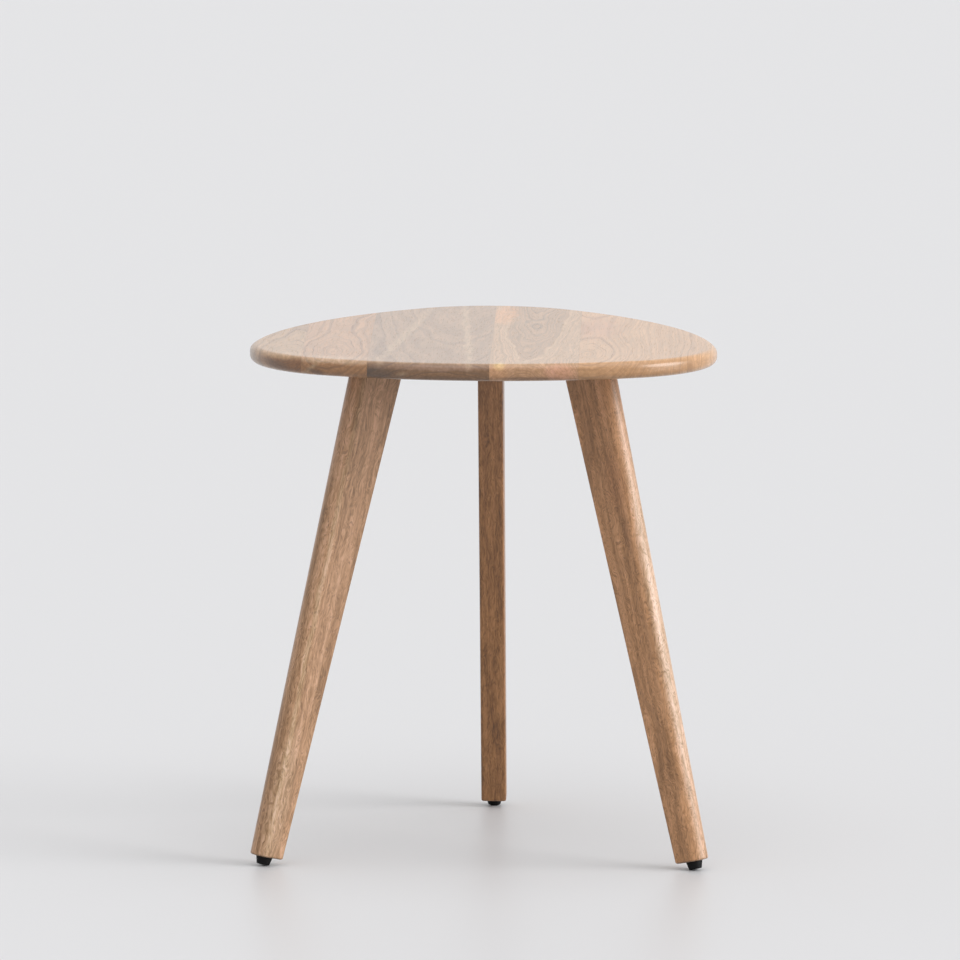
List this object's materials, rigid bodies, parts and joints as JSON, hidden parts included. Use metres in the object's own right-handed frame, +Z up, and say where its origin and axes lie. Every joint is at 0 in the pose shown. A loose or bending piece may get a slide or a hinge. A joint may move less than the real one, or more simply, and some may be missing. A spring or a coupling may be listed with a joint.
{
  "type": "side table",
  "caption": "Small side table: a rounded triangular top of edge-glued wood boards on splayed, tapered wooden legs that are bolted on through steel plates and stand on screw-in levelling glides.",
  "frame": {"origin": "on the floor, under the middle of the table's bounding box", "axes": "+Z up, +Y towards the rear corner of the top, +X to the right as seen from the front"},
  "size_m": [0.457, 0.4624, 0.508],
  "materials": {
    "board_1_wood": "satin oil",
    "board_2_wood": "satin oil",
    "board_3_wood": "satin oil",
    "board_4_wood": "satin oil",
    "board_5_wood": "satin oil",
    "leg_wood": "satin oil",
    "black_steel": "satin black powder coat",
    "zinc_steel": "zinc plated",
    "black_plastic": "matte moulded"
  },
  "bodies": {
    "table": {"top_board_1": "board_1_wood", "top_board_2": "board_2_wood", "top_board_3": "board_3_wood", "top_board_4": "board_4_wood", "top_board_5": "board_5_wood", "rear_leg": "leg_wood", "rear_leg_plate": "black_steel", "rear_leg_screw_1": "zinc_steel", "rear_leg_screw_2": "zinc_steel", "rear_plate_bolt_1": "zinc_steel", "rear_plate_bolt_2": "zinc_steel", "rear_plate_bolt_3": "zinc_steel", "rear_plate_bolt_4": "zinc_steel", "rear_top_insert_1": "zinc_steel", "rear_top_insert_2": "zinc_steel", "rear_top_insert_3": "zinc_steel", "rear_top_insert_4": "zinc_steel", "rear_foot_insert": "zinc_steel", "left_leg": "leg_wood", "left_leg_plate": "black_steel", "left_leg_screw_1": "zinc_steel", "left_leg_screw_2": "zinc_steel", "left_plate_bolt_1": "zinc_steel", "left_plate_bolt_2": "zinc_steel", "left_plate_bolt_3": "zinc_steel", "left_plate_bolt_4": "zinc_steel", "left_top_insert_1": "zinc_steel", "left_top_insert_2": "zinc_steel", "left_top_insert_3": "zinc_steel", "left_top_insert_4": "zinc_steel", "left_foot_insert": "zinc_steel", "right_leg": "leg_wood", "right_leg_plate": "black_steel", "right_leg_screw_1": "zinc_steel", "right_leg_screw_2": "zinc_steel", "right_plate_bolt_1": "zinc_steel", "right_plate_bolt_2": "zinc_steel", "right_plate_bolt_3": "zinc_steel", "right_plate_bolt_4": "zinc_steel", "right_top_insert_1": "zinc_steel", "right_top_insert_2": "zinc_steel", "right_top_insert_3": "zinc_steel", "right_top_insert_4": "zinc_steel", "right_foot_insert": "zinc_steel"},
    "rear_stud": {"rear_glide_stud": "zinc_steel"},
    "rear_foot": {"rear_glide_foot": "black_plastic"},
    "left_stud": {"left_glide_stud": "zinc_steel"},
    "left_foot": {"left_glide_foot": "black_plastic"},
    "right_stud": {"right_glide_stud": "zinc_steel"},
    "right_foot": {"right_glide_foot": "black_plastic"}
  },
  "joints": [
    {"name": "rear_glide_travel", "type": "slide", "parent": "table", "child": "rear_stud", "axis": [0, 0.225, -0.9744], "range_m": [0, 0.0075]},
    {"name": "rear_glide_turn", "type": "hinge", "parent": "rear_stud", "child": "rear_foot", "pos_m": [0, 0.21749, 0.00903], "axis": [0, 0.225, -0.9744], "range_deg": [0, 2160]},
    {"name": "left_glide_travel", "type": "slide", "parent": "table", "child": "left_stud", "axis": [-0.1948, -0.1125, -0.9744], "range_m": [0, 0.0075]},
    {"name": "left_glide_turn", "type": "hinge", "parent": "left_stud", "child": "left_foot", "pos_m": [-0.21036, -0.14686, 0.00903], "axis": [-0.1948, -0.1125, -0.9744], "range_deg": [0, 2160]},
    {"name": "right_glide_travel", "type": "slide", "parent": "table", "child": "right_stud", "axis": [0.1948, -0.1125, -0.9744], "range_m": [0, 0.0075]},
    {"name": "right_glide_turn", "type": "hinge", "parent": "right_stud", "child": "right_foot", "pos_m": [0.21036, -0.14686, 0.00903], "axis": [0.1948, -0.1125, -0.9744], "range_deg": [0, 2160]}
  ],
  "couplings": [
    {"joint": "rear_glide_turn", "follows": "rear_glide_travel", "rad_per_m": 5026.5},
    {"joint": "left_glide_turn", "follows": "left_glide_travel", "rad_per_m": 5026.5},
    {"joint": "right_glide_turn", "follows": "right_glide_travel", "rad_per_m": 5026.5}
  ]
}
